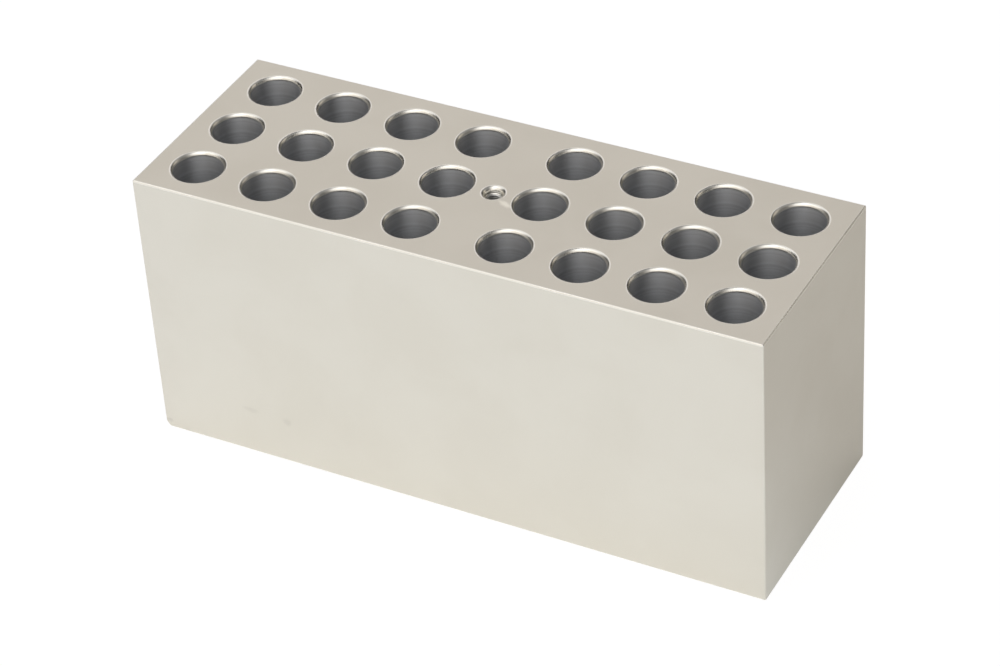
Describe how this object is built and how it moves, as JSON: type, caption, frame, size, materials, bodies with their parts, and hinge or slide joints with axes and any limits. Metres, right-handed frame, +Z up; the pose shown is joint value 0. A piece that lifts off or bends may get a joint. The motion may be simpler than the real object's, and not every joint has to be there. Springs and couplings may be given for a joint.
{
  "type": "dry block heater sample block",
  "caption": "Rectangular machined aluminium tube block for a dry block heater, with round-bottomed tube wells in rows and a threaded lifting hole in the middle of its top.",
  "frame": {"origin": "centre of the underside, on the surface that the block stands on", "axes": "+X along the block's length, +Y across its width from the front long face to the back one, +Z up, out of the wells' mouths"},
  "size_m": [0.14, 0.05, 0.0635],
  "materials": {
    "block_aluminium": "satin",
    "insert_steel": "polished"
  },
  "bodies": {
    "root": {"sample_block": "block_aluminium", "lifting_thread_insert": "insert_steel"}
  },
  "joints": []
}
